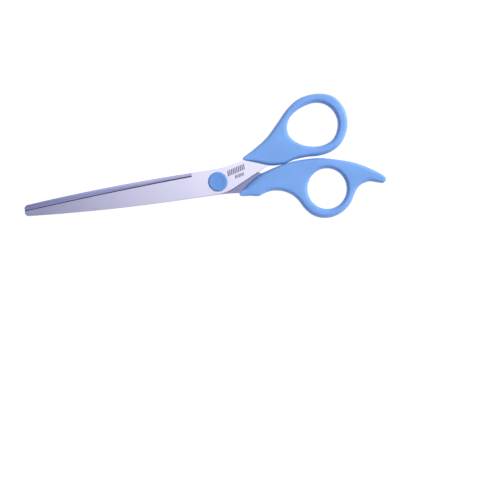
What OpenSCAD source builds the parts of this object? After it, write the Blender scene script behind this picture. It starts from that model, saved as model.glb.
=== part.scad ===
// Hairdressing scissors: two steel blades turning on one screw, with moulded ring handles.
// The pivot axis is Z through the origin. The closed blades point along -X and the handles along +X.
// The front of the scissors faces +Z, and the rear cap's flat face lies on the plane Z = 0.

/* [Blades] */
// Distance from the pivot axis to the blunt tip
blade_reach = 108; // [100:1:115]
// Half of the width across the closed blades
blade_half = 7; // [6.5:0.1:7.5]
// Radius of the bowed spine
spine_r = 1080; // [950:10:1400]
// Radius of the slightly bowed cutting edge
edge_r = 2200; // [1600:100:4000]
// How far each cutting edge passes the middle line at the tip
tip_overlap = 0.15; // [0.1:0.05:0.4]
// Radius of the rounded outer corner of each tip
tip_corner = 2; // [1:0.25:2.5]
// Distance from the pivot axis to the square shoulder where the cutting edge ends
shoulder_x = 13.8; // [11:0.1:16]
// Height of the cutting edge at the shoulder
shoulder_y = 5.5; // [5:0.1:6]
// Thickness of the steel at the pivot
stock = 1.8; // [1.6:0.1:2]
// Thickness of the steel at the tip
tip_stock = 1.1; // [1:0.1:1.4]
// Width of the ground bevel along the cutting edge
bevel_w = 0.6; // [0.4:0.1:1]
// Height of that bevel at the cutting edge
bevel_h = 1.2; // [0.9:0.1:1.3]
// Radius of the hollow ground into the inner face
hollow_r = 60; // [50:5:90]
// Depth of that hollow near the pivot
hollow_depth = 0.2; // [0.1:0.05:0.25]

/* [Handles] */
// Thickness of both handles
handle_t = 8; // [7.5:0.25:8.5]
// How far the rounding of rings and bodies reaches in from their outlines
soft_edge = 2.3; // [1.8:0.1:2.4]
// How far the rounding reaches in at the front ends, where the steel goes in
front_edge = 0.35; // [0.2:0.05:0.4]
// Length of the finger ring's hole, along X
finger_hole_l = 21.6; // [20:0.1:22]
// Width of the finger ring's hole, along Y
finger_hole_w = 22.4; // [20:0.1:22.6]
// Radius of the plastic key that fills the hole through each tang
key_r = 2; // [1.5:0.25:2.5]

/* [Pivot] */
// Radius of the caps over the screw's ends
cap_r = 5.35; // [5:0.05:5.6]
// Radius of the screw's shank
shank_r = 2; // [1.75:0.05:2.2]
// Radial running clearance of the front blade on the shank
running_gap = 0.04; // [0.02:0.01:0.08]
// Radius of the screw's head and of the nut's corners
head_r = 3.9; // [3.6:0.1:4]
// Gap between the inner faces of the blades
blade_gap = 0.06; // [0.04:0.02:0.1]

/* [Hidden] */
$fn = 64;

steel = [0.85, 0.84, 0.9];
back_steel = [0.62, 0.63, 0.76];
bright_steel = [0.78, 0.78, 0.8];
blue = [0.49, 0.67, 0.94];
nylon = [0.93, 0.93, 0.9];

// The blades meet at shear_z, halfway up the handles.
shear_z = handle_t / 2;
inner_gap = blade_gap / 2;
front_z = shear_z + inner_gap + stock;
back_z = shear_z - inner_gap - stock;

// Shape of the shanks behind the pivot
spine_x = -15;
shank_x = -1.5;
shank_y = 0.05 - blade_half;
top_x = -3;
front_key = [29.5, 10.5];
back_key = [32, 3.2];

// Pivot hardware between the caps
spring_t = 0.35;
spring_r = 3.7;
head_h = 0.8;
slot_w = 1;
slot_depth = 0.45;
nut_h = 1.35;
washer_r = 4.3;
washer_gap = 0.03;
recess_r = washer_r + 0.1;
recess_depth = 0.13;
cavity_r = head_r + 0.15;
cap_rim = 1.1;
cap_dish = 0.2;
cap_gap = 0.1;
cap_top = 2 * shear_z - 0.1;
head_z = front_z + washer_gap + spring_t;
screw_end = back_z - nut_h;

// Points along an arc of radius r round c, from angle a0 to angle a1.
function arc(c, r, a0, a1, n) = [for (i = [0:n]) let (a = a0 + (a1 - a0) * i / n) c + r * [cos(a), sin(a)]];

// The spine lies on one large circle. The cutting edge is a chord with a slight bow.
function spine_y(x) = spine_r - blade_half - sqrt(pow(spine_r, 2) - pow(x - spine_x, 2));
edge_slope = (shoulder_y - tip_overlap) / (blade_reach - shoulder_x);
edge_l = norm([blade_reach - shoulder_x, shoulder_y - tip_overlap]);
function edge_bow(x) = (x + blade_reach) * (-shoulder_x - x) / (2 * edge_r);
function edge_y(x) = tip_overlap + edge_slope * (x + blade_reach) + edge_bow(x);

// Centre of the tip's rounded corner, which touches the tip's end and the spine.
tip_x = tip_corner - blade_reach;
tip_y = spine_r - blade_half - sqrt(pow(spine_r - tip_corner, 2) - pow(tip_x - spine_x, 2));
tip_turn = 90 - asin((spine_x - tip_x) / (spine_r - tip_corner));

// A blade from its square shoulder, along the cutting edge, round the tip and back along the spine.
blade_points = concat(
    [[-shoulder_x, blade_half]],
    [for (i = [0:20]) let (x = -shoulder_x - (blade_reach - shoulder_x) * i / 20) [x, edge_y(x)]],
    arc([tip_x, tip_y], tip_corner, 180, 180 + tip_turn, 8),
    [for (i = [1:20]) let (x = tip_x + (shank_x - tip_x) * i / 20) [x, spine_y(x)]]);

// A shank: it turns up by angle turn on a fillet, runs into the tang's points, and comes back on a long arc.
function shank_points(turn, fillet_r, tang, top_r, top_turn) = concat(
    arc([shank_x, shank_y + fillet_r], fillet_r, 1 - 90, turn - 90, 8),
    tang,
    arc([top_x, blade_half + top_r], top_r, top_turn - 90, -90, 12));

front_points = concat(blade_points,
    shank_points(25.2, 24, [[34.5, 7.5], [36, 11.5], [33.5, 14.8], [29, 15.2]], 63, 28));
back_points = concat(blade_points,
    shank_points(13, 26, [[23.6, -1.8], [25.2, -0.3], [38, 0.3], [41, 2.5], [40, 5.5], [30, 7]], 110, 10));

// One blade lying on its inner face, with its cutting edge on +Y.
module blade(points, bore_r, key) {
    taper = (stock - tip_stock) / (blade_reach + spine_x);
    far = blade_reach + 10;
    middle = [-(blade_reach + shoulder_x) / 2, (shoulder_y + tip_overlap) / 2];
    turn = atan(edge_slope);
    half_angle = asin(edge_l / 2 / edge_r);
    centre = middle - sqrt(pow(edge_r, 2) - pow(edge_l / 2, 2)) * [-sin(turn), cos(turn)];
    difference() {
        linear_extrude(stock) polygon(points);
        // The outer face tapers towards the tip.
        translate([0, 30, 0]) rotate([90, 0, 0]) linear_extrude(60)
            polygon([[spine_x, stock], [-far, stock - taper * (far + spine_x)], [-far, 3], [spine_x, 3]]);
        // The bevel follows the bowed cutting edge as part of a wide cone.
        translate(centre) rotate([0, 0, 90 + turn - half_angle]) rotate_extrude(angle = 3, $fn = 720)
            polygon([[edge_r + bevel_w, stock - 2 * bevel_h], [edge_r + bevel_w, stock + bevel_h],
                     [edge_r - 2 * bevel_w, stock + bevel_h]]);
        // The inner face is ground hollow, shallower towards the tip.
        translate([-shoulder_x - 6, -0.8, hollow_depth - hollow_r]) rotate([0, -90.13, 0.6])
            cylinder(r = hollow_r, h = blade_reach, $fn = 180);
        translate([0, 0, -1]) cylinder(r = bore_r, h = stock + 2);
        translate([0, 0, -1]) cylinder(r = recess_r, h = recess_depth + 1);
        translate([key[0], key[1], -1]) cylinder(r = key_r, h = stock + 2);
    }
}

module front_blade() {
    color(steel) translate([0, 0, shear_z + inner_gap]) blade(front_points, shank_r + running_gap, front_key);
}

// The back blade is the same blade turned over, with its own shank.
module back_blade() {
    color(back_steel) translate([0, 0, shear_z - inner_gap]) rotate([180, 0, 0])
        blade(back_points, shank_r, back_key);
}

// The room that a tang takes up in its handle. The plastic key in its hole stays.
module tang_room(points, key) {
    difference() {
        linear_extrude(stock) polygon(points);
        translate([key[0], key[1], -1]) cylinder(r = key_r, h = stock + 2);
    }
}

// Key points of the handle outlines, counter-clockwise: x, y, and how far in the edge is rounded there.
finger_points = [
    [11.8, -7.3, front_edge], [10.8, -8.6, front_edge], [12, -9.7, front_edge], [16.5, -10.3, 1.2], [20.6, -11.1, 1.2],
    [22.5, -10.8, 1.2], [25.5, -9.8, 2], [29.8, -9.4, soft_edge], [35, -10.6, soft_edge],
    [39.4, -13.3, soft_edge], [42.6, -17, soft_edge], [45, -21.5, soft_edge], [48.8, -25.8, soft_edge],
    [54, -28.3, soft_edge], [60, -28.6, soft_edge], [66, -26.5, soft_edge], [70.7, -22.6, soft_edge],
    [73.7, -17.9, soft_edge], [76.9, -14, soft_edge], [82.2, -12.2, soft_edge], [87.6, -13.6, 1.4],
    [90.4, -14.2, 1], [92, -12.4, 1], [90.6, -9.9, 1.3], [84, -5, soft_edge], [76, -0.7, soft_edge],
    [66.4, 2.5, soft_edge], [57, 4.7, soft_edge], [48, 5.15, soft_edge], [41, 4.75, soft_edge],
    [36.2, 4, 2], [31, 2.8, 1.6], [26.5, 1.6, front_edge], [23.9, 0.8, front_edge], [17.3, -2.9, front_edge]];
thumb_points = [
    [16.4, 11.5, front_edge], [15.5, 10.5, front_edge], [16.6, 9.6, front_edge], [22, 7.3, front_edge], [28, 5, 1],
    [33, 4.3, 1.6], [36.4, 4.3, 2], [39.4, 4.8, soft_edge], [44.2, 5.9, soft_edge], [51, 6.3, soft_edge],
    [57.5, 6, soft_edge], [64.5, 7.2, soft_edge], [70.6, 11, soft_edge], [74.6, 17.3, soft_edge],
    [75.9, 24, soft_edge], [74.6, 31, soft_edge], [70.2, 37, soft_edge], [64, 39.6, soft_edge],
    [57, 40, soft_edge], [49.8, 38.2, soft_edge], [43.4, 33.7, soft_edge], [37.3, 27.3, soft_edge],
    [30.4, 20.3, soft_edge], [23.5, 15.5, 1.6], [18.6, 12.7, 1]];
thumb_hole_points = [
    [42.2, 22.8, -soft_edge], [43.9, 17.5, -soft_edge], [50.2, 12.8, -soft_edge], [59, 11.2, -soft_edge],
    [66.5, 14, -soft_edge], [70.2, 21.5, -soft_edge], [69, 28.8, -soft_edge], [64.4, 33.7, -soft_edge],
    [57.8, 35.2, -soft_edge], [50, 33, -soft_edge], [44.3, 28.8, -soft_edge]];
finger_hole_c = [59.1, -12.7];
finger_hole_points = [for (a = [0:30:330])
    [finger_hole_c[0] + finger_hole_l / 2 * cos(a), finger_hole_c[1] + finger_hole_w / 2 * sin(a), -soft_edge]];

// A smooth closed curve through key points (Catmull-Rom), n steps between neighbours.
function blend4(a, b, c, d, t) =
    (2 * b + (c - a) * t + (2 * a - 5 * b + 4 * c - d) * pow(t, 2) + (3 * b - a - 3 * c + d) * pow(t, 3)) / 2;
function closed_curve(p, n) = let (m = len(p)) [for (i = [0:m - 1], j = [0:n - 1])
    blend4(p[(i + m - 1) % m], p[i], p[(i + 1) % m], p[(i + 2) % m], j / n)];

// Outward normal of a closed counter-clockwise curve at point i.
function outward(q, i) = let (m = len(q), d = q[(i + 1) % m] - q[(i + m - 1) % m]) [d[1], -d[0]] / norm([d[0], d[1]]);

// A closed solid over a curve that lies at shear_z. Its wall rounds in by each point's third value above and
// below the curve. A negative rounding makes a cutter with flared mouths, which needs the extra height over.
module rounded_wall(curve, over) {
    m = len(curve);
    levels = concat(
        over > 0 ? [[1, -handle_t / 2 - over]] : [],
        [for (a = [-90:15:90]) [1 - cos(a), handle_t / 2 * sin(a)]],
        over > 0 ? [[1, handle_t / 2 + over]] : []);
    points = [for (l = levels, i = [0:m - 1]) let (p = curve[i], o = outward(curve, i) * p[2] * l[0])
        [p[0] - o[0], p[1] - o[1], shear_z + l[1]]];
    walls = [for (k = [0:len(levels) - 2], i = [0:m - 1]) let (a = k * m + i, b = k * m + (i + 1) % m)
        each [[a, a + m, b + m], [a, b + m, b]]];
    under = [for (i = [0:m - 1]) i];
    upper = [for (i = [m - 1:-1:0]) (len(levels) - 1) * m + i];
    polyhedron(points, concat(walls, [under, upper]));
}

module thumb_handle() {
    color(blue) resize([0, 0, handle_t]) difference() {
        rounded_wall(closed_curve(thumb_points, 4), 0);
        rounded_wall(closed_curve(thumb_hole_points, 6), 1);
        translate([0, 0, shear_z + inner_gap]) tang_room(front_points, front_key);
    }
}

module finger_handle() {
    color(blue) resize([0, 0, handle_t]) difference() {
        rounded_wall(closed_curve(finger_points, 4), 0);
        rounded_wall(closed_curve(finger_hole_points, 5), 1);
        translate([0, 0, shear_z - inner_gap]) rotate([180, 0, 0]) tang_room(back_points, back_key);
    }
}

module pivot_screw() {
    color(bright_steel) difference() {
        union() {
            translate([0, 0, screw_end]) cylinder(r = shank_r, h = head_z - screw_end);
            translate([0, 0, head_z]) cylinder(r = head_r, h = head_h);
        }
        translate([-head_r - 1, -slot_w / 2, head_z + head_h - slot_depth]) cube([2 * head_r + 2, slot_w, 1]);
    }
}

module ring(outer, inner, z, h) {
    translate([0, 0, z]) difference() {
        cylinder(r = outer, h = h);
        translate([0, 0, -1]) cylinder(r = inner, h = h + 2);
    }
}

module spring_washer() {
    color(bright_steel) ring(spring_r, shank_r + 0.05, head_z - spring_t, spring_t);
}

// The glide washer rests in the back blade's recess and stands into the front blade's.
module glide_washer() {
    bottom = shear_z - inner_gap - recess_depth;
    top = shear_z + inner_gap + recess_depth - washer_gap;
    color(nylon) ring(washer_r, shank_r + 0.05, bottom, top - bottom);
}

module pivot_nut() {
    color(bright_steel) translate([0, 0, screw_end]) difference() {
        cylinder(r = head_r, h = nut_h, $fn = 6);
        translate([0, 0, -1]) cylinder(r = shank_r, h = nut_h + 2);
    }
}

// A cap with its crown up: a rounded rim, a shallow dish in the middle, and a cavity for a head or nut.
module cap(height, dish, cavity_h) {
    dish_r = cap_r - cap_rim;
    crown = concat(
        arc([dish_r, height - cap_rim], cap_rim, 0, 90, 6),
        [for (i = [1:6]) [dish_r * (1 - i / 6), height - dish * (1 - cos(180 * i / 6)) / 2]]);
    rotate_extrude($fn = 96)
        polygon(concat([[cavity_r, 0], [cap_r, 0]], crown, [[0, cavity_h], [cavity_r, cavity_h]]));
}

module front_cap() {
    base = front_z + cap_gap;
    color(blue) translate([0, 0, base]) cap(cap_top - base, cap_dish, head_z + head_h - base);
}

module rear_cap() {
    color(blue) translate([0, 0, back_z]) rotate([180, 0, 0]) cap(back_z, 0, nut_h);
}

back_blade();
front_blade();
finger_handle();
thumb_handle();
pivot_screw();
spring_washer();
glide_washer();
pivot_nut();
front_cap();
rear_cap();
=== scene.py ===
# %% [markdown]
# # Hairdressing scissors
#
# A pair of scissors is two levers on one screw. Here each half is a steel blade with a moulded plastic
# handle, and a plastic cap hides each end of the screw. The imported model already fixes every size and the
# joint. This lesson makes what is seen: ground steel with crisp edges, soft moulded rings and small domed
# caps.
#
# Lengths in the text are millimetres, because that is how scissors are drawn. Blender works in metres, so
# one constant turns one into the other.

# %% Load the frame
import math

import bmesh
import bpy
import numpy as np
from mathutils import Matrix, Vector
from mathutils.geometry import delaunay_2d_cdt


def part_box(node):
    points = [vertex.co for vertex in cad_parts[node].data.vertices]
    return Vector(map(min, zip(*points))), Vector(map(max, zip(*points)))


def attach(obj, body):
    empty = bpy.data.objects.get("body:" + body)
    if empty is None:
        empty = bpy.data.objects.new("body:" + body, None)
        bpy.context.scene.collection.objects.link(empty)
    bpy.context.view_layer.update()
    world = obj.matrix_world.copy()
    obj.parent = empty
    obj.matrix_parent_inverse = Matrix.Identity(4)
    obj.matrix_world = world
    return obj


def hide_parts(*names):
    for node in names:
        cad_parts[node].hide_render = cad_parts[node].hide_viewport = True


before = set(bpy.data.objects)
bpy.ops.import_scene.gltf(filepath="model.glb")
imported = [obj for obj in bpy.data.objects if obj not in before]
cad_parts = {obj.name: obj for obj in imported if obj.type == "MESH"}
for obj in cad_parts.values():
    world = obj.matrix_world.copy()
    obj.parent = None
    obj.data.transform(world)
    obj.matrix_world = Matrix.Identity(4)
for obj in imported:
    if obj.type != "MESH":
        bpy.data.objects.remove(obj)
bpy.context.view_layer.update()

MM = 0.001


def node_box(name):
    """A node's lowest and highest corners, in millimetres."""
    low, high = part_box(name)
    return np.array(low) / MM, np.array(high) / MM


front_low, front_high = node_box("front_blade")
back_high = node_box("back_blade")[1]
cap_low, cap_high = node_box("front_cap")
rear_low, rear_high = node_box("rear_cap")
handle_low, handle_high = node_box("thumb_handle")

SHEAR_Z = (handle_low[2] + handle_high[2]) / 2
STOCK = front_high[2] - front_low[2]
REACH = -front_low[0]
FRONT_FACE = front_low[2]
BACK_FACE = back_high[2]
HALF_THICK = (handle_high[2] - handle_low[2]) / 2
print(f"blades reach {REACH:.1f} mm from the pivot, in {STOCK:.2f} mm stock")
print(f"handles are {2 * HALF_THICK:.1f} mm thick")

# %% [markdown]
# ## Camera
#
# The view is straight down. The frame is 276.5 mm wide where the blades meet, and the scissors lie in its
# upper half with their length turned 8.6 degrees. A long lens from 0.9 m keeps the walls of the rings from
# showing.

# %% Camera
VIEW_WIDTH = 276.5 * MM
VIEW_TURN = math.radians(8.6)
VIEW_CENTRE = Vector((11.9, -39.9, SHEAR_Z)) * MM
VIEW_DISTANCE = 0.9
SENSOR = 36.0

camera = bpy.data.objects.new("camera", bpy.data.cameras.new("camera"))
bpy.context.scene.collection.objects.link(camera)
camera.data.sensor_width = SENSOR
camera.data.lens = SENSOR * VIEW_DISTANCE / VIEW_WIDTH
camera.location = VIEW_CENTRE + Vector((0, 0, VIEW_DISTANCE))
camera.rotation_euler = (0, 0, -VIEW_TURN)
bpy.context.scene.camera = camera
bpy.context.scene.view_settings.view_transform = "Standard"
print(f"lens {camera.data.lens:.0f} mm")

# %% [markdown]
# ## Meshes from arrays
#
# Every new piece starts as an array of points. `piece` puts points and faces into a mesh, turns its faces
# outwards, and shades it smooth except where two faces meet at a clear angle.

# %% Mesh helpers
SHARP = math.radians(32)
MERGE = 0.00002


def piece(name, points_mm, faces, sharp=SHARP, **marks):
    """A closed mesh object from points in millimetres and lists of point numbers.

    Each mark is a named list with one number for every point, which the piece's finish can read.
    """
    mesh = bpy.data.meshes.new(name)
    mesh.from_pydata((np.asarray(points_mm) * MM).tolist(), [], [list(map(int, f)) for f in faces])
    for label, values in marks.items():
        mark = mesh.attributes.new(label, "FLOAT", "POINT")
        mark.data.foreach_set("value", np.asarray(values, np.float32))
    tidy = bmesh.new()
    tidy.from_mesh(mesh)
    bmesh.ops.remove_doubles(tidy, verts=tidy.verts, dist=MERGE * MM)
    bmesh.ops.recalc_face_normals(tidy, faces=tidy.faces)
    open_edges = sum(not e.is_manifold for e in tidy.edges)
    tidy.to_mesh(mesh)
    tidy.free()
    mesh.shade_smooth()
    mesh.set_sharp_from_angle(angle=sharp)
    made = bpy.data.objects.new(name, mesh)
    bpy.context.scene.collection.objects.link(made)
    print(f"{name}: {len(mesh.polygons)} faces, {open_edges} open edges")
    return made


def quad_rows(rows, columns, first=0):
    """Quads between rows of points, where each row is a closed ring of that many columns."""
    k, i = np.meshgrid(np.arange(rows - 1), np.arange(columns), indexing="ij")
    a = first + k * columns + i
    b = first + k * columns + (i + 1) % columns
    return np.stack([a, b, b + columns, a + columns], axis=-1).reshape(-1, 4)


def baked(thing):
    """Applies an object's modifiers, so that the finished shape is in its mesh."""
    view = bpy.context.evaluated_depsgraph_get()
    mesh = bpy.data.meshes.new_from_object(thing.evaluated_get(view))
    thing.modifiers.clear()
    thing.data = mesh
    return thing


def cut(thing, *cutters):
    """Takes the cutters' shapes out of a piece, and throws the cutters away."""
    for cutter in cutters:
        step = thing.modifiers.new("cut", "BOOLEAN")
        step.operation = "DIFFERENCE"
        step.solver = "EXACT"
        step.object = cutter
    baked(thing)
    for cutter in cutters:
        bpy.data.objects.remove(cutter)
    thing.data.shade_smooth()
    thing.data.set_sharp_from_angle(angle=SHARP)
    return thing


def drill(radius, low_z, high_z, centre=(0.0, 0.0), sides=64):
    """A plain round cutter: two rings of points, one above the other, and a face on each."""
    turn = np.linspace(0, 2 * np.pi, sides, endpoint=False)
    ring = np.stack([centre[0] + radius * np.cos(turn), centre[1] + radius * np.sin(turn)], axis=1)
    points = np.concatenate([np.c_[ring, np.full(sides, z)] for z in (low_z, high_z)])
    ends = [np.arange(sides)[::-1], sides + np.arange(sides)]
    return piece("drill", points, list(quad_rows(2, sides)) + ends)


# %% [markdown]
# ## Blades
#
# Each blade is forged and ground from one strip. Seen from the front it has a spine bowed on a large
# circle, a nearly straight cutting edge, a blunt tip with one rounded corner, and a square shoulder where
# grinding stopped. Behind the pivot the strip becomes a shank that runs into the handle.
#
# Each outline is made of plain curves, one after the other along X: circles for the spine, the tip's corner
# and the sweeps of the shank, and straight lines where the real strip is straight.

# %% Blade outlines
HALF_WIDTH = 7.0
SPINE_RADIUS = 1080.0
SPINE_X = -15.0
EDGE_RADIUS = 2200.0
EDGE_TIP_Y = 0.15
SHOULDER = (-13.8, 5.5)
TIP_CORNER = 2.0
SHANK_X = -1.5
SHANK_LOW = 0.05 - HALF_WIDTH
SWEEP_X = -3.0
FRONT_SWING = (24, 25.2)
FRONT_SWEEP = 63
BACK_SWING = (26, 13)
BACK_SWEEP = 110
BACK_TANG_LOW = ([23.6, 25.2, 38], [-1.8, -0.3, 0.3])
BACK_TANG_HIGH = ([16, 30, 38], [8.65, 7, 5.8])
tip_x = TIP_CORNER - REACH
tip_y = SPINE_RADIUS - HALF_WIDTH - math.sqrt((SPINE_RADIUS - TIP_CORNER) ** 2 - (tip_x - SPINE_X) ** 2)


def spine_line(x):
    """The spine: a circle of SPINE_RADIUS that is lowest at SPINE_X, and the rounded corner at the tip."""
    bow = SPINE_RADIUS - HALF_WIDTH - np.sqrt(SPINE_RADIUS**2 - (x - SPINE_X) ** 2)
    corner = tip_y - np.sqrt(np.maximum(TIP_CORNER**2 - (x - tip_x) ** 2, 0))
    return np.where(x < tip_x, corner, bow)


def edge_line(x):
    """The cutting edge: a chord from the tip to the shoulder, plus the slight bow of a wide circle."""
    slope = (SHOULDER[1] - EDGE_TIP_Y) / (SHOULDER[0] + REACH)
    return EDGE_TIP_Y + slope * (x + REACH) + (x + REACH) * (SHOULDER[0] - x) / (2 * EDGE_RADIUS)


def swing(x, radius, angle):
    """The underside of a shank: level at SHANK_X, turned up by angle on a circle, then straight."""
    angle = math.radians(angle)
    run = np.minimum(x - SHANK_X, radius * math.sin(angle))
    rise = radius - np.sqrt(radius**2 - np.maximum(run, 0) ** 2)
    return SHANK_LOW + rise + np.maximum(x - SHANK_X - run, 0) * math.tan(angle)


def sweep_up(x, radius):
    """The top of a shank: level up to SWEEP_X, then rising on a circle."""
    return HALF_WIDTH + radius - np.sqrt(radius**2 - np.maximum(x - SWEEP_X, 0) ** 2)


def front_outline(x):
    """Lower and upper outline of the front blade, which swings up to the thumb handle."""
    low = np.where(x < SHANK_X, spine_line(x), swing(x, *FRONT_SWING))
    high = np.where(x < SHOULDER[0], edge_line(x), sweep_up(x, FRONT_SWEEP))
    return low, high


def back_outline(x):
    """The same for the back blade before it is turned over. Its shank runs nearly straight on.

    Inside the handle the tang is narrower, and its sides are straight lines.
    """
    low = np.where(x < SHANK_X, spine_line(x), swing(x, *BACK_SWING))
    low = np.where(x > BACK_TANG_LOW[0][0], np.interp(x, *BACK_TANG_LOW), low)
    high = np.where(x < SHOULDER[0], edge_line(x), sweep_up(x, BACK_SWEEP))
    high = np.where(x > BACK_TANG_HIGH[0][0], np.interp(x, *BACK_TANG_HIGH), high)
    return low, high


at_pivot = np.array([0.0])
for label, outline in (("front", front_outline), ("back", back_outline)):
    low, high = outline(at_pivot)
    print(f"{label} blade is {high[0] - low[0]:.2f} mm wide at the pivot")

# %% [markdown]
# ### The ground section
#
# A blade could be an extruded outline with its faces cut by blocks, but its thickness, hollow and bevel all
# change along it. So it is a section carried along X instead. At every station the outlines say how wide
# the section is, and the section itself has the hollow inner face, the broken corners of the spine and the
# ground bevel. Both blades have the same section. The back one is turned over.

# %% Blade sections
BEVEL = (0.75, 1.2)
TIP_STOCK = 1.1
BROKEN_EDGE = 0.14
LAND = 0.13
HOLLOW = 0.2
END_BREAK = 0.08
END_SHRINK = np.array([0, 0.08, 0.12])
SHOULDER_GAP = 0.03
TIP_STATIONS = 10
BODY_STATIONS = 90
SHANK_STATIONS = 60
FRONT_TANG_END = 33.0
BACK_TANG_END = 38.0


def blade_stations(end):
    """Where the sections stand: closest round the tip's corner, and a pair on each side of the shoulder."""
    tip = END_BREAK - REACH + TIP_CORNER * (1 - np.cos(np.linspace(0, np.pi / 2, TIP_STATIONS)))
    body = np.linspace(END_BREAK - REACH + TIP_CORNER, SHOULDER[0] - SHOULDER_GAP, BODY_STATIONS)[1:]
    shank = np.linspace(SHOULDER[0] + SHOULDER_GAP, end, SHANK_STATIONS)
    return np.concatenate([tip, body, shank])


def blade_section(x, low, high):
    """Points of the section at each station, from the cutting edge over the inner face and the spine.

    The inner face is hollow: a parabola of the section's width, deepest in the middle. The blade thins
    towards the tip. The bevel takes the outer corner off the cutting edge, and on the shank it is just a
    broken edge.
    """
    cutting = x < SHOULDER[0]
    thick = STOCK - (STOCK - TIP_STOCK) * np.clip((SPINE_X - x) / (REACH + SPINE_X), 0, 1)
    width = high - low
    land = LAND * width
    depth = HOLLOW * np.clip(width / (2 * HALF_WIDTH), 0, 1) ** 2 * cutting
    bevel_w = np.where(cutting, BEVEL[0] * (thick / STOCK), BROKEN_EDGE)
    bevel_h = np.where(cutting, BEVEL[1] * (thick / STOCK), BROKEN_EDGE)
    c = np.full_like(x, BROKEN_EDGE)
    zero = np.zeros_like(x)
    share = np.linspace(1, 0, 13)[1:-1]
    inner = [(high - land - (1 - s) * (width - 2 * land), depth * 4 * s * (1 - s)) for s in share]
    turn = np.radians([0, 30, 60, 90])
    lower_corner = [(low + c * (1 - math.sin(a)), c * (1 - math.cos(a))) for a in turn]
    upper_corner = [(low + c * (1 - math.cos(a)), thick - c * (1 - math.sin(a))) for a in turn]
    face = [(low + c + s * (width - c - bevel_w), thick) for s in (0.006, 0.25, 0.5, 0.75, 0.994)]
    bevel = [(high - bevel_w, thick), (high, thick - bevel_h)]
    start = [(high, zero), (high - land, zero)]
    section = start + inner + [(low + land, zero)] + lower_corner + upper_corner + face + bevel
    y = np.stack([p[0] for p in section], axis=1)
    z = np.stack([p[1] for p in section], axis=1)
    return y, z


def blade(outline, end):
    """The section carried from the tip to the end of the tang.

    Both end faces are a little smaller than the section beside them, so that their corners are broken
    too. The third result marks the points of the ground bevel, whose colour is darkened as painted shade.
    """
    x = blade_stations(end)
    low, high = outline(x)
    y, z = blade_section(x, low, high)
    points = np.stack([np.broadcast_to(x[:, None], y.shape), y, z], axis=-1)
    points = np.concatenate([points[:1], points, points[-1:]])
    for rim, side in ((0, -1), (-1, 1)):
        middle = points[rim].mean(axis=0)
        points[rim] += (middle - points[rim]) * END_SHRINK
        points[rim, :, 0] = x[rim] + side * END_BREAK
    rows, columns = points.shape[:2]
    ends = [np.arange(columns)[::-1], (rows - 1) * columns + np.arange(columns)]
    # The bevel's points, which the steel's finish darkens as painted shade for the shadow line along the
    # edge.
    honed = (np.arange(columns) >= columns - 2) & (points[..., 0] < SHOULDER[0])
    return points.reshape(-1, 3), list(quad_rows(rows, columns)) + ends, honed.ravel()


front_points, blade_faces, honed = blade(front_outline, FRONT_TANG_END)
front_points[:, 2] += FRONT_FACE
front_steel = piece("front_blade_steel", front_points, blade_faces, honed=honed)

back_points, blade_faces, honed = blade(back_outline, BACK_TANG_END)
back_points = back_points * [1, -1, -1] + [0, 0, BACK_FACE]
back_steel = piece("back_blade_steel", back_points, blade_faces, honed=honed)

# %% [markdown]
# The screw passes through both blades, and a thin nylon washer lies in a shallow recess between them, so
# those are cut out. Each tang also has a hole that the handle's plastic fills, which locks the two
# together.

# %% Holes in the blades
SCREW_HOLE = 2.04
WASHER_RECESS = (4.4, 0.13)
OUT = 1
THROUGH = 3
KEY_RADIUS = 2.0
FRONT_KEY = (29.5, 10.5)
BACK_KEY = (32.0, -3.2)

cut(front_steel,
    drill(SCREW_HOLE, FRONT_FACE - OUT, FRONT_FACE + THROUGH),
    drill(WASHER_RECESS[0], FRONT_FACE - OUT, FRONT_FACE + WASHER_RECESS[1]),
    drill(KEY_RADIUS, FRONT_FACE - OUT, FRONT_FACE + THROUGH, FRONT_KEY))
cut(back_steel,
    drill(SCREW_HOLE, BACK_FACE - THROUGH, BACK_FACE + OUT),
    drill(WASHER_RECESS[0], BACK_FACE - WASHER_RECESS[1], BACK_FACE + OUT),
    drill(KEY_RADIUS, BACK_FACE - THROUGH, BACK_FACE + OUT, BACK_KEY))

# %% [markdown]
# ## Handles
#
# A moulded handle is a flat plan with soft edges. The plan is a smooth closed curve through a few key
# points, and each point also says how far in the rounding reaches there: far on the rings, little at the
# front ends. A bevel modifier would give one width everywhere, so the rounding is built point by point
# instead.

# %% Handle plans
SOFT = 2.0
THUMB_PLAN = [
    (16.4, 11.5, 0.35), (15.5, 10.5, 0.35), (16.6, 9.6, 0.4), (22, 7.3, 1.8), (28, 5, 1.9), (33, 4.25, 1.8),
    (36.4, 4.2, 1.7), (39.4, 4.72, 1.7), (44.2, 5.9, SOFT), (51, 6.3, SOFT), (57.5, 6, SOFT),
    (64.5, 7.2, SOFT), (70.6, 11, SOFT), (74.6, 17.3, SOFT), (75.9, 24, SOFT), (74.6, 31, SOFT),
    (70.2, 37, SOFT), (64, 39.6, SOFT), (57, 40, SOFT), (49.8, 38.2, SOFT), (43.4, 33.7, SOFT),
    (37.3, 27.3, SOFT), (30.4, 20.3, SOFT), (23.5, 15.5, 1.6), (18.6, 12.7, 1)]
THUMB_HOLE = [
    (42.2, 22.8, -SOFT), (43.9, 17.5, -SOFT), (50.2, 12.8, -SOFT), (59, 11.2, -SOFT), (66.5, 14, -SOFT),
    (70.2, 21.5, -SOFT), (69, 28.8, -SOFT), (64.4, 33.7, -SOFT), (57.8, 35.2, -SOFT), (50, 33, -SOFT),
    (44.3, 28.8, -SOFT)]
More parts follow.
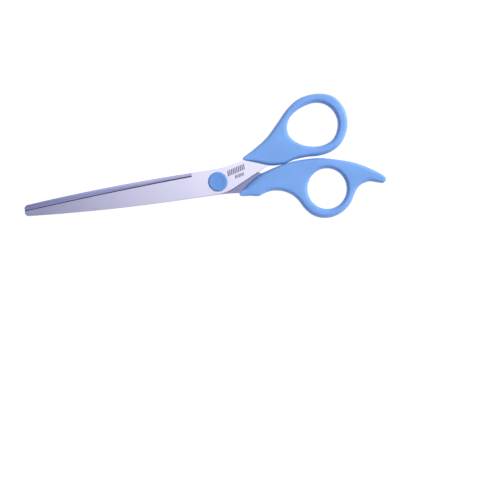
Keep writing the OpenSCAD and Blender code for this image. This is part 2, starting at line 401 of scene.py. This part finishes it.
FINGER_PLAN = [
    (11.8, -7.3, 0.4), (10.8, -8.6, 0.35), (12, -9.7, 0.5), (16.5, -10.3, 1.2), (20.6, -11.1, 1.2),
    (22.5, -10.8, 1.2), (25.5, -9.8, 2), (29.8, -9.4, SOFT), (35, -10.6, SOFT), (39.4, -13.3, SOFT),
    (42.6, -17, SOFT), (45, -21.5, SOFT), (48.8, -25.8, SOFT), (54, -28.3, SOFT), (60, -28.6, SOFT),
    (66, -26.5, SOFT), (70.7, -22.6, SOFT), (73.7, -17.9, SOFT), (76.9, -14, SOFT), (82.2, -12.2, SOFT),
    (87.6, -13.6, 1.4), (90.4, -14.2, 1), (92, -12.4, 1), (90.6, -9.9, 1.3), (84, -5, SOFT), (76, -0.7, SOFT),
    (66.4, 2.5, SOFT), (57, 4.7, SOFT), (48, 5.15, SOFT), (41, 4.75, 1.4), (36.2, 4, 1.2), (31, 2.8, 1.6),
    (26.5, 1.6, 2.0), (23.9, 0.8, 2.6), (17.3, -2.9, 3.2), (14.3, -5.3, 2.2)]
FINGER_HOLE_CENTRE = (59.1, -12.7)
FINGER_HOLE_SIZE = (21.6, 22.4)
PLAN_STEPS = 8
HOLE_STEPS = 10
FINGER_HOLE_STEPS = 110


def closed_curve(keys, steps):
    """A smooth closed curve through the keys.

    Between two keys it is the Catmull-Rom cubic of the four nearest.
    """
    keys = np.array(keys, float)
    a, b, c, d = (np.roll(keys, n, axis=0)[:, None] for n in (1, 0, -1, -2))
    t = (np.arange(steps) / steps)[None, :, None]
    cubic = 2 * b + (c - a) * t + (2 * a - 5 * b + 4 * c - d) * t**2 + (3 * b - a - 3 * c + d) * t**3
    return (cubic / 2).reshape(-1, 3)


def oval(centre, size, reach, count):
    """An ellipse with one rounding reach all round.

    The point at angle t is the centre plus half the size times cos(t) and sin(t).
    """
    turn = np.linspace(0, 2 * np.pi, count, endpoint=False)
    x = centre[0] + size[0] / 2 * np.cos(turn)
    return np.stack([x, centre[1] + size[1] / 2 * np.sin(turn), np.full(count, reach)], axis=1)


def outward(curve):
    """Unit vectors square to a counter-clockwise curve, pointing out of it."""
    along = np.roll(curve[:, :2], -1, axis=0) - np.roll(curve[:, :2], 1, axis=0)
    out = np.stack([along[:, 1], -along[:, 0]], axis=1)
    return out / np.linalg.norm(out, axis=1, keepdims=True)


print(f"{len(THUMB_PLAN)} points in the thumb handle's plan, {len(FINGER_PLAN)} in the finger handle's")

# %% [markdown]
# ### Walls and faces
#
# The walls are rings of points. Each ring is the plan curve, moved inwards and up along a quarter of an
# oval. What is left in the middle is the face. It is filled with a fine net of triangles, and then lifted
# like a soap film with a little air under it, because mouldings are never dead flat.
#
# The net needs to know which points lie inside the plan. A point is inside a closed curve when a line from
# it to the far right crosses the curve an odd number of times.

# %% Handle surfaces
NET = 1.1
NET_ROW = 0.866 * NET
NET_MARGIN = 0.7 * NET
CROWN = 0.2
EDGE_STEPS = 10
TALLER = 1.7
TALLEST = 0.95
WIDEST = 0.45
INSET = 0.002
TOUCHING = 1e-6
FILM_ROUNDS = 1500
CREASE = math.radians(60)


def inside(points, curve):
    """True where a point lies inside the closed curve, by counting crossings to its right."""
    x, y = points[:, 0][:, None], points[:, 1][:, None]
    x0, y0 = curve[:, 0], curve[:, 1]
    x1, y1 = np.roll(x0, -1), np.roll(y0, -1)
    spans = (y0 > y) != (y1 > y)
    crossing = x0 + (y - y0) * (x1 - x0) / np.where(y1 == y0, 1e-9, y1 - y0)
    return (spans & (x < crossing)).sum(axis=1) % 2 == 1


def gap_to(points, curve):
    """Distance from each point to the nearest point of the curve."""
    return np.sqrt(((points[:, None] - curve[None]) ** 2).sum(axis=2)).min(axis=1)


def wall(curve, top):
    """Rings up a wall: round the lower corner, straight up, and round the upper corner to the rim.

    At angle a of a corner the curve has moved in by reach times 1 - cos(a), and it is short of the rim's
    height by TALLER times reach times 1 - sin(a), so each corner is a quarter of an upright oval. An oval
    is at most TALLEST of the wall's height. The second result is how worn each point gets: the sine of
    twice the angle, which is highest half-way round the corner.
    """
    a = np.linspace(0, np.pi / 2, EDGE_STEPS + 1)[:, None]
    reach = curve[None, :, 2]
    tall = np.minimum(TALLER * np.abs(reach), TALLEST * top)
    move = reach * (1 - np.cos(a))
    rise = top - tall * (1 - np.sin(a))
    worn = np.sin(2 * a) + 0 * reach
    move, rise = np.concatenate([move[::-1], move]), np.concatenate([-rise[::-1], rise])
    flat = curve[None, :, :2] - outward(curve)[None] * move[..., None]
    rings = np.concatenate([flat, SHEAR_Z + rise[..., None]], axis=-1)
    return rings, np.concatenate([worn[::-1], worn])


def face_net(rim, hole):
    """Triangles that fill the face between its rim and the hole's, with a regular net of points inside."""
    low, high = rim.min(axis=0), rim.max(axis=0)
    x, y = np.meshgrid(np.arange(low[0], high[0], NET), np.arange(low[1], high[1], NET_ROW), indexing="ij")
    x = x + NET / 2 * (np.arange(x.shape[1])[None] % 2)
    net = np.stack([x.ravel(), y.ravel()], axis=1)
    keep = inside(net, rim) & ~inside(net, hole)
    keep &= (gap_to(net, rim) > NET_MARGIN) & (gap_to(net, hole) > NET_MARGIN)
    points = np.concatenate([rim, hole, net[keep]])
    m, h = len(rim), len(hole)
    loops = [(i, (i + 1) % m) for i in range(m)] + [(m + i, m + (i + 1) % h) for i in range(h)]
    found = delaunay_2d_cdt([Vector(p) for p in points], loops, [], 0, TOUCHING)
    triangles = np.array(found[2])
    middle = points[triangles].mean(axis=1)
    return points, triangles[inside(middle, rim) & ~inside(middle, hole)]


def soap_film(points, triangles, fixed):
    """Heights from 0 to 1 of a film that is held at its first points and pushed up evenly everywhere else.

    In each round every free point takes the mean height of its neighbours, plus one.
    """
    a = triangles[:, [0, 1, 2]].ravel()
    b = triangles[:, [1, 2, 0]].ravel()
    start, end = np.concatenate([a, b]), np.concatenate([b, a])
    share = np.bincount(start, minlength=len(points)).astype(float)
    height = np.zeros(len(points))
    for _ in range(FILM_ROUNDS):
        height = np.bincount(start, weights=height[end], minlength=len(points)) / share + 1
        height[:fixed] = 0
    return height / height.max()


def ring_handle(name, plan, hole, node):
    """Both walls and both faces of a handle, as one closed mesh that stays inside its node's box.

    Where the ring is narrow, each rounding takes at most WIDEST of the width, so that the two never meet.
    """
    rim_height = HALF_THICK - CROWN
    low, high = node_box(node)
    plan, hole = plan.copy(), hole.copy()
    plan[:, :2] = np.clip(plan[:, :2], low[:2] + INSET, high[:2] - INSET)
    plan[:, 2] = np.minimum(plan[:, 2], WIDEST * gap_to(plan[:, :2], hole[:, :2]))
    hole[:, 2] = -np.minimum(SOFT, WIDEST * gap_to(hole[:, :2], plan[:, :2]))
    outer, outer_worn = wall(plan, rim_height)
    inner, inner_worn = wall(hole, rim_height)
    rows, m, h = len(outer), len(plan), len(hole)
    net, triangles = face_net(outer[-1, :, :2], inner[-1, :, :2])
    lift = rim_height + CROWN * soap_film(net, triangles, m + h)
    upper = np.c_[net, SHEAR_Z + lift]
    lower = np.c_[net, SHEAR_Z - lift]
    points = np.concatenate([outer.reshape(-1, 3), inner.reshape(-1, 3), upper, lower])
    first = rows * (m + h)
    faces = list(quad_rows(rows, m)) + list(quad_rows(rows, h, rows * m)[:, ::-1])
    faces += list(triangles + first) + list(triangles[:, ::-1] + first + len(net))
    worn = np.concatenate([outer_worn.ravel(), inner_worn.ravel(), np.zeros(2 * len(net))])
    return piece(name, points, faces, sharp=CREASE, worn=worn)


thumb_plan = closed_curve(THUMB_PLAN, PLAN_STEPS)
thumb_hole = closed_curve(THUMB_HOLE, HOLE_STEPS)
finger_plan = closed_curve(FINGER_PLAN, PLAN_STEPS)
finger_hole = oval(FINGER_HOLE_CENTRE, FINGER_HOLE_SIZE, -SOFT, FINGER_HOLE_STEPS)
thumb_moulding = ring_handle("thumb_handle_moulding", thumb_plan, thumb_hole, "thumb_handle")
finger_moulding = ring_handle("finger_handle_moulding", finger_plan, finger_hole, "finger_handle")

# %% [markdown]
# ## Pivot caps
#
# The caps are small round mouldings, so each is one profile spun round the pivot axis. The front one has a
# soft rim and a shallow dish in its crown. Underneath it is hollow, to clear the screw's head. The rear one
# is flat, and covers the nut.

# %% Caps
CAP_SIDES = 96
CAP_RADIUS = cap_high[0]
SKIRT = 1.3
SKIRT_EDGE = 0.12
FRONT_ROOM = 1.08
FRONT_RIM = 0.85
FRONT_DISH = 0.16
REAR_ROOM = 1.35
REAR_RIM = 0.9
DISH_END = 1.9


def spun(name, profile):
    """A closed mesh from a profile of (radius, height) points, spun round Z.

    The point at angle t is the radius times cos(t) and sin(t). The first and last points lie on the axis.
    """
    profile = np.array(profile, float)
    turn = np.linspace(0, 2 * np.pi, CAP_SIDES, endpoint=False)
    rings = profile[1:-1]
    x = rings[:, 0][:, None] * np.cos(turn)
    y = rings[:, 0][:, None] * np.sin(turn)
    z = np.broadcast_to(rings[:, 1][:, None], x.shape)
    points = np.stack([x, y, z], axis=-1).reshape(-1, 3)
    poles = np.array([[0, 0, profile[0][1]], [0, 0, profile[-1][1]]])
    n = len(points)
    i = np.arange(CAP_SIDES)
    last = n - CAP_SIDES
    bottom = np.stack([np.full_like(i, n), (i + 1) % CAP_SIDES, i], axis=1)
    top = np.stack([np.full_like(i, n + 1), last + i, last + (i + 1) % CAP_SIDES], axis=1)
    faces = list(quad_rows(len(rings), CAP_SIDES)) + list(bottom) + list(top)
    return piece(name, np.concatenate([points, poles]), faces)


def cap_profile(base, top, cavity, rim, dish):
    """Out over the cavity's roof, down and under the skirt, up round the rim, and in over the crown.

    The rim is a quarter circle. The crown sinks by dish towards the middle on half a cosine wave, which is
    over when DISH_END times the way in is one.
    """
    side = 1 if top > base else -1
    radius = CAP_RADIUS
    cavity_r = radius - SKIRT
    corner = np.radians(np.linspace(0, 90, 13))
    round_rim = [(radius - rim + rim * math.cos(a), top - side * rim * (1 - math.sin(a))) for a in corner]
    share = np.linspace(0, 1, 24)[1:]
    sink = dish * (1 - np.cos(np.pi * np.minimum(share * DISH_END, 1))) / 2
    crown = list(zip((radius - rim) * (1 - share), top - side * sink))
    skirt = [(cavity_r, base), (radius - SKIRT_EDGE, base), (radius, base + side * SKIRT_EDGE)]
    return [(0, cavity), (cavity_r, cavity)] + skirt + round_rim + crown


front_profile = cap_profile(cap_low[2], cap_high[2], cap_low[2] + FRONT_ROOM, FRONT_RIM, FRONT_DISH)
rear_profile = cap_profile(rear_high[2], rear_low[2], rear_high[2] - REAR_ROOM, REAR_RIM, 0.0)
front_cap = spun("front_pivot_cap", front_profile)
rear_cap = spun("rear_pivot_cap", rear_profile)

# %% [markdown]
# ## Finishes
#
# Shader sums are written as ordinary Python. `add_node` makes any node from its type, its settings and its
# sockets. `Wire` holds an output socket, and adding or multiplying wires adds Math nodes. `Nodes` is a node
# tree with its surface, and `Finish` is the nodes of one material.

# %% Shader helpers
def plug(tree, socket, value):
    """Links a wire to a socket, or sets the socket to a plain value."""
    if isinstance(value, Wire):
        tree.links.new(value.socket, socket)
    else:
        socket.default_value = value


def add_node(tree, kind, settings=None, **values):
    """A new node. A socket is given by its name with _ for spaces, or by _ and its number."""
    made = tree.nodes.new(kind)
    for key, value in (settings or {}).items():
        setattr(made, key, value)
    for key, value in values.items():
        plug(tree, made.inputs[int(key[1:]) if key[0] == "_" else key.replace("_", " ")], value)
    return made


class Wire:
    """One output socket. Arithmetic on it adds Math nodes and gives the result's socket."""

    def __init__(self, tree, socket):
        self.tree = tree
        self.socket = socket

    def apply(self, operation, *values):
        """The result of a Math node on wires and numbers."""
        sockets = {f"_{i}": value for i, value in enumerate(values)}
        made = add_node(self.tree, "ShaderNodeMath", {"operation": operation}, **sockets)
        return Wire(self.tree, made.outputs[0])

    def __add__(self, other):
        return self.apply("ADD", self, other)

    def __sub__(self, other):
        return self.apply("SUBTRACT", self, other)

    def __rsub__(self, other):
        return self.apply("SUBTRACT", other, self)

    def __mul__(self, other):
        return self.apply("MULTIPLY", self, other)

    def __truediv__(self, other):
        return self.apply("DIVIDE", self, other)

    def __abs__(self):
        return self.apply("ABSOLUTE", self)

    __radd__ = __add__
    __rmul__ = __mul__

    def root(self):
        """The square root."""
        return self.apply("SQRT", self)

    def fraction(self):
        """What is left over the whole number below."""
        return self.apply("FRACT", self)

    def step(self, low, high):
        """0 below low and 1 above high, smooth between."""
        smooth = {"interpolation_type": "SMOOTHSTEP"}
        made = add_node(self.tree, "ShaderNodeMapRange", smooth, Value=self, From_Min=low, From_Max=high)
        return Wire(self.tree, made.outputs["Result"])


class Nodes:
    """A node tree whose last node is its surface."""

    def __init__(self, tree, surface):
        self.tree = tree
        self.surface = tree.nodes[surface]

    def node(self, kind, settings=None, out=0, **values):
        """One output of a new node in this tree."""
        return Wire(self.tree, add_node(self.tree, kind, settings, **values).outputs[out])

    def feed(self, **values):
        """Plugs values into the surface's own sockets."""
        for key, value in values.items():
            plug(self.tree, self.surface.inputs[key.replace("_", " ")], value)

    def split(self, vector):
        """The X, Y and Z of a vector."""
        return [Wire(self.tree, s) for s in add_node(self.tree, "ShaderNodeSeparateXYZ", _0=vector).outputs]

    def mix(self, share, low, high):
        """A colour between low and high."""
        return self.node("ShaderNodeMix", {"data_type": "RGBA"}, out=2, _0=share, _6=low, _7=high)


class Finish(Nodes):
    """A material with its Principled shader."""

    def __init__(self, name, **surface):
        self.material = bpy.data.materials.new(name)
        self.material.use_nodes = True
        super().__init__(self.material.node_tree, "Principled BSDF")
        self.feed(**surface)
        self.place = self.node("ShaderNodeTexCoord", out="Object")

    def axes(self):
        """X, Y and Z of the point, in millimetres."""
        return [w * 1000 for w in self.split(self.place)]

    def noise(self, grain, detail=2.0, rough=0.5, turn=0.0):
        """Noise from 0 to 1 whose features measure grain, (x, y, z) in millimetres."""
        size = tuple(1000 / g for g in grain)
        place = self.node("ShaderNodeMapping", Vector=self.place, Scale=size, Rotation=(0, 0, turn))
        values = {"Vector": place, "Scale": 1.0, "Detail": detail, "Roughness": rough}
        return self.node("ShaderNodeTexNoise", out="Fac", **values)

    def bump(self, height, depth_mm, strength):
        """A normal tilted by the slope of height, which stands for depth_mm millimetres."""
        return self.node("ShaderNodeBump", Height=height, Distance=depth_mm * MM, Strength=strength)


def shade(value, tint):
    """A linear colour with full alpha: tint times value."""
    return tuple(value * t for t in tint) + (1.0,)


# %% [markdown]
# ### Ground steel
#
# The blades are finished on a belt that runs across them, so the grind lines cross the blade. Their depth
# varies from line to line: that is a noise stretched many times longer across than along. It feeds the tone
# and a very shallow bump. A slow cloudy noise stands for handling and uneven polish. Only broad noise
# reaches the roughness, because fine changes there break a smooth reflection into dots.
#
# The bevel at the cutting edge has a much darker tone: painted shade for the shadow line along the edge.
# The back blade's steel is darker and bluer than the front one's: painted shade for the dimmer room that its
# hollow face reflects. It is darker still near the pivot, on the shank and towards the tip: painted shade
# where the front blade shades it and where the reflection dims. The front shank carries a small etched mark.
# Here it is two plain rows of slanted strokes, with no letters in them.

# %% Steel
MARK_ROWS = [((5.9, 1.9), (15.7, 4.5), 3.2, 10), ((9.7, 0.15), (14.7, 1.25), 1.9, 7)]
STROKE = 0.62
STROKE_LEAN = 0.3
ETCHED = (0.12, 0.12, 0.17, 1)
# Colour of the back blade's painted shade near the pivot, on the shank and towards the tip.
BACK_SHADE_COLOUR = (0.16, 0.18, 0.3, 1)
# Tint of the bevel's painted shade.
BEVEL_SHADE_TINT = (0.85, 0.78, 1.1)
FRONT_TINT = (0.90, 0.89, 1.06)
# The back blade's bluer tint is painted shade for the dimmer room that its hollow face reflects.
BACK_SHADE_TINT = (0.77, 0.795, 1.18)


def etched_rows(f):
    """1 on the strokes of the etched mark. Each row is a start, an end, a height and a number of strokes.

    A stroke fills the first STROKE of each pitch. It is where the distance along the row, less a share of
    the height so that it leans, divided by the pitch, has a fraction below STROKE. The last one ends the
    row.
    """
    x, y, z = f.axes()
    total = 0
    for start, end, tall, strokes in MARK_ROWS:
        length = math.dist(start, end)
        ux, uy = (end[0] - start[0]) / length, (end[1] - start[1]) / length
        along = (x - start[0]) * ux + (y - start[1]) * uy
        up = (y - start[1]) * ux - (x - start[0]) * uy
        along = along - up * STROKE_LEAN
        pitch = length / (strokes - 1 + STROKE)
        phase = (along / pitch).fraction()
        stroke = 1 - phase.step(STROKE - 0.05, STROKE + 0.05)
        inside_row = along.step(-0.1, 0) * (1 - along.step(length - 0.1, length))
        total = total + stroke * inside_row * up.step(0, 0.1) * (1 - up.step(tall - 0.1, tall))
    return total * z.step(FRONT_FACE + 1, FRONT_FACE + 1.2)


def ground_steel(name, value, roughness, tint):
    """Satin stainless steel with grind lines across the blade, and its colour, for what goes over it."""
    f = Finish(name, Metallic=1.0)
    fine = f.noise((0.05, 4.0, 4.0), detail=3.0, rough=0.65)
    coarse = f.noise((0.35, 9.0, 9.0), detail=2.0)
    cloud = f.noise((9.0, 6.0, 6.0), detail=4.0, rough=0.6)
    drag = f.noise((30.0, 0.16, 3.0), detail=1.0, turn=0.22).step(0.66, 0.8)
    # The bevel takes a far darker colour: painted shade for the shadow line along the cutting edge.
    honed = f.node("ShaderNodeAttribute", {"attribute_name": "honed"}, out="Fac").step(0.5, 0.9)
    tone = fine * 0.3 + coarse * 0.25 + cloud * 0.45
    colour = f.mix(tone.step(0.2, 0.8), shade(value * 0.93, tint), shade(value * 1.05, tint))
    colour = f.mix(drag * 0.06, colour, shade(value * 0.8, tint))
    colour = f.mix(honed, colour, shade(value * 0.22, BEVEL_SHADE_TINT))
    f.feed(Base_Color=colour)
    f.feed(Roughness=roughness + coarse * 0.03 + cloud * 0.05)
    f.feed(Normal=f.bump(fine * 0.5 + coarse * 0.5, 0.003, 0.3))
    return f, colour


front_finish, front_colour = ground_steel("front_steel", value=0.84, roughness=0.25, tint=FRONT_TINT)
front_finish.feed(Base_Color=front_finish.mix(etched_rows(front_finish) * 0.95, front_colour, ETCHED))
# The back blade's lower value and bluer tint are painted shade: the same steel as the front, made darker.
back_finish, back_shaded_colour = ground_steel("back_steel", value=0.67, roughness=0.28, tint=BACK_SHADE_TINT)
along = back_finish.axes()[0]
# Painted shade on the back blade: near the pivot and on the shank where the front blade shades it, and
# towards the tip where the reflection dims.
shade_near_pivot = along.step(-48, -12) * 0.32
shank_shadow = along.step(3, 7) * 0.3
shade_near_tip = (1 - along.step(-112, -72)) * 0.2
back_painted_shade = shade_near_pivot + shank_shadow + shade_near_tip
back_finish.feed(Base_Color=back_finish.mix(back_painted_shade, back_shaded_colour, BACK_SHADE_COLOUR))
print(f"front steel {len(front_finish.tree.nodes)} nodes, back steel {len(back_finish.tree.nodes)} nodes")

# %% [markdown]
# ### Turned steel and nylon
#
# The screw, its washer and the nut come off a lathe, so their lines are circles round the pivot: a noise
# read at the distance from the axis. The nylon washer is off-white and slightly milky.

# %% Hardware
def turned_steel(name):
    """Bright steel with circles round the pivot."""
    f = Finish(name, Metallic=1.0)
    x, y = f.axes()[:2]
    radius = (x * x + y * y).root()
    line = {"noise_dimensions": "1D"}
    ring = f.node("ShaderNodeTexNoise", line, out="Fac", W=radius, Scale=9.0, Detail=3.0)
    cloud = f.noise((2.0, 2.0, 2.0), detail=3.0)
    f.feed(Base_Color=f.mix(ring * 0.6 + cloud * 0.4, (0.5, 0.5, 0.51, 1), (0.72, 0.72, 0.74, 1)))
    f.feed(Roughness=0.22 + ring * 0.16)
    f.feed(Normal=f.bump(ring, 0.006, 0.4))
    return f


def nylon(name):
    """Off-white nylon with a faint cloudiness."""
    f = Finish(name, Subsurface_Weight=0.1)
    cloud = f.noise((0.8, 0.8, 0.8), detail=4.0)
    f.feed(Base_Color=f.mix(cloud, (0.78, 0.77, 0.7, 1), (0.9, 0.89, 0.83, 1)))
    f.feed(Roughness=0.42 + cloud * 0.12)
    return f


hardware_finish = turned_steel("turned_steel")
nylon_finish = nylon("natural_nylon")
print("made", hardware_finish.material.name, "and", nylon_finish.material.name)

# %% [markdown]
# ### Moulded plastic
#
# The handles and caps are one blue plastic, from a lightly textured mould. It gets a fine leathery grain,
# slow flow marks that change its tone a little, a hairline where the halves of the mould met, and a few
# scuffs. Fingers polish the shoulders of the rings, so those are paler and smoother in patches.

# %% Plastic
def moulded_plastic(name, colour, parting_z=None):
    """Satin plastic. With parting_z it has the mould's hairline at that height."""
    f = Finish(name, IOR=1.49)
    flow = f.noise((16.0, 9.0, 9.0), detail=3.0, turn=0.5)
    grain = f.noise((0.3, 0.3, 0.3), detail=4.0, rough=0.65)
    worn = f.node("ShaderNodeAttribute", {"attribute_name": "worn"}, out="Fac")
    rubbed = worn * f.noise((2.5, 2.5, 2.5), detail=4.0).step(0.42, 0.68)
    scratch = f.noise((0.5, 7.0, 3.0), detail=3.0, turn=0.9).step(0.68, 0.8)
    scuff = scratch * f.noise((5.0, 5.0, 5.0)).step(0.45, 0.65)
    tone = f.mix(flow.step(0.25, 0.75), shade(0.95, colour), shade(1.05, colour))
    height = grain
    if parting_z is not None:
        line = 1 - abs(f.axes()[2] - parting_z).step(0.03, 0.1)
        tone = f.mix(line * 0.5, tone, shade(0.55, colour))
        height = height + line * 1.5
    pale = tuple(0.55 * c + 0.4 for c in colour) + (1.0,)
    f.feed(Base_Color=f.mix(scuff * 0.12 + rubbed * 0.1, tone, pale))
    f.feed(Roughness=0.38 + grain * 0.1 + flow * 0.05 + scuff * 0.12 - rubbed * 0.1)
    f.feed(Normal=f.bump(height, 0.05, 0.7))
    return f


BLUE = (0.189, 0.385, 0.775)
CAP_BLUE = (0.14, 0.325, 0.70)
handle_finish = moulded_plastic("handle_plastic", BLUE, SHEAR_Z)
cap_finish = moulded_plastic("cap_plastic", CAP_BLUE)
print(f"handle plastic {len(handle_finish.tree.nodes)} nodes")
print(f"cap plastic {len(cap_finish.tree.nodes)} nodes")

# %% [markdown]
# ## Putting it together
#
# Every new piece takes its finish, replaces the plain solid it stands for, and rides on its half of the
# scissors. The small steel parts and the nylon washer keep their exact solids and only change finish.

# %% Dress and attach
def dress(thing, finish):
    """Gives a thing one finish all over."""
    thing.data.materials.clear()
    thing.data.materials.append(finish.material)
    return thing


def stand_in(thing, finish, node, body):
    """Dresses a new piece, and puts it in a plain solid's place."""
    dress(thing, finish)
    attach(thing, body)
    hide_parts(node)


stand_in(front_steel, front_finish, "front_blade", "moving_half")
stand_in(back_steel, back_finish, "back_blade", "still_half")
stand_in(thumb_moulding, handle_finish, "thumb_handle", "moving_half")
stand_in(finger_moulding, handle_finish, "finger_handle", "still_half")
stand_in(front_cap, cap_finish, "front_cap", "still_half")
stand_in(rear_cap, cap_finish, "rear_cap", "still_half")
for name in ("pivot_screw", "spring_washer", "pivot_nut"):
    dress(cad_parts[name], hardware_finish)
dress(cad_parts["glide_washer"], nylon_finish)
print("six new pieces ride on their halves, and four solids have new finishes")

# %% [markdown]
# ## Studio
#
# The table is so bright that it shows no shadow, so it glows by itself. Plastic is lit by its whole
# surroundings and takes its shape from the key light at the right. The room is dimmer at the left, so
# slopes that face left fall into shade. Flat steel is a blurred mirror: seen from above, it shows what
# hangs over it. A pale panel hangs over the pivot and the handles. Its reflection ends part of the way along
# the blades, and so the steel fades from bright at the pivot to a darker lavender at the tip. The key is
# left out of mirrors, or low views would show white steel.

# %% Table and lights
TABLE_HALF = 3.0
TABLE_Z = -0.02 * MM
PANEL_X = 0.175
PANEL_Y = 0.24
PANEL_TINT = (1.0, 0.98, 0.91)
LEFT_WALL = (0.17, 0.19, 0.27, 1)
RIGHT_WALL = (0.42, 0.43, 0.52, 1)
CEILING = (0.15, 0.161, 0.298, 1)
table_mesh = bpy.data.meshes.new("table")
corners = [(x * TABLE_HALF, y * TABLE_HALF, TABLE_Z) for x, y in ((-1, -1), (1, -1), (1, 1), (-1, 1))]
table_mesh.from_pydata(corners, [], [(0, 1, 2, 3)])
table = bpy.data.objects.new("table", table_mesh)
bpy.context.scene.collection.objects.link(table)
table_finish = Finish("white_table", Base_Color=(0.06, 0.06, 0.06, 1), Roughness=0.8)
table_finish.feed(Emission_Color=(1, 1, 1, 1), Emission_Strength=1.0)
dress(table, table_finish)


def soft_light(name, place, sides, glow, tint=(1, 1, 1), target=(0.02, 0, 0)):
    """A flat panel of the given sides that faces its target.

    Its power is pi times glow times its area, so that every bit of it is as bright as glow.
    """
    lamp = bpy.data.objects.new(name, bpy.data.lights.new(name, "AREA"))
    lamp.data.shape = "RECTANGLE"
    lamp.data.size, lamp.data.size_y = sides
    lamp.data.energy = glow * math.pi * sides[0] * sides[1]
    lamp.data.color = tint
    lamp.location = place
    lamp.rotation_euler = (Vector(target) - Vector(place)).to_track_quat("-Z", "Y").to_euler()
    bpy.context.scene.collection.objects.link(lamp)
    return lamp


key = soft_light("key", (0.88, 0.24, 0.78), (0.8, 0.8), 7.3)
key.visible_glossy = False
soft_light("steel_panel", (PANEL_X, PANEL_Y, 0.98), (0.65, 0.52), 1.6, PANEL_TINT, (PANEL_X, PANEL_Y, 0))

world = bpy.data.worlds.new("room")
world.use_nodes = True
room = Nodes(world.node_tree, "Background")
to_right, _, to_top = room.split(room.node("ShaderNodeTexCoord", out="Generated"))
walls = room.mix(to_right.step(-0.75, 0.45), LEFT_WALL, RIGHT_WALL)
room.feed(Color=room.mix(to_top.step(0.55, 0.9), walls, CEILING))
bpy.context.scene.world = world
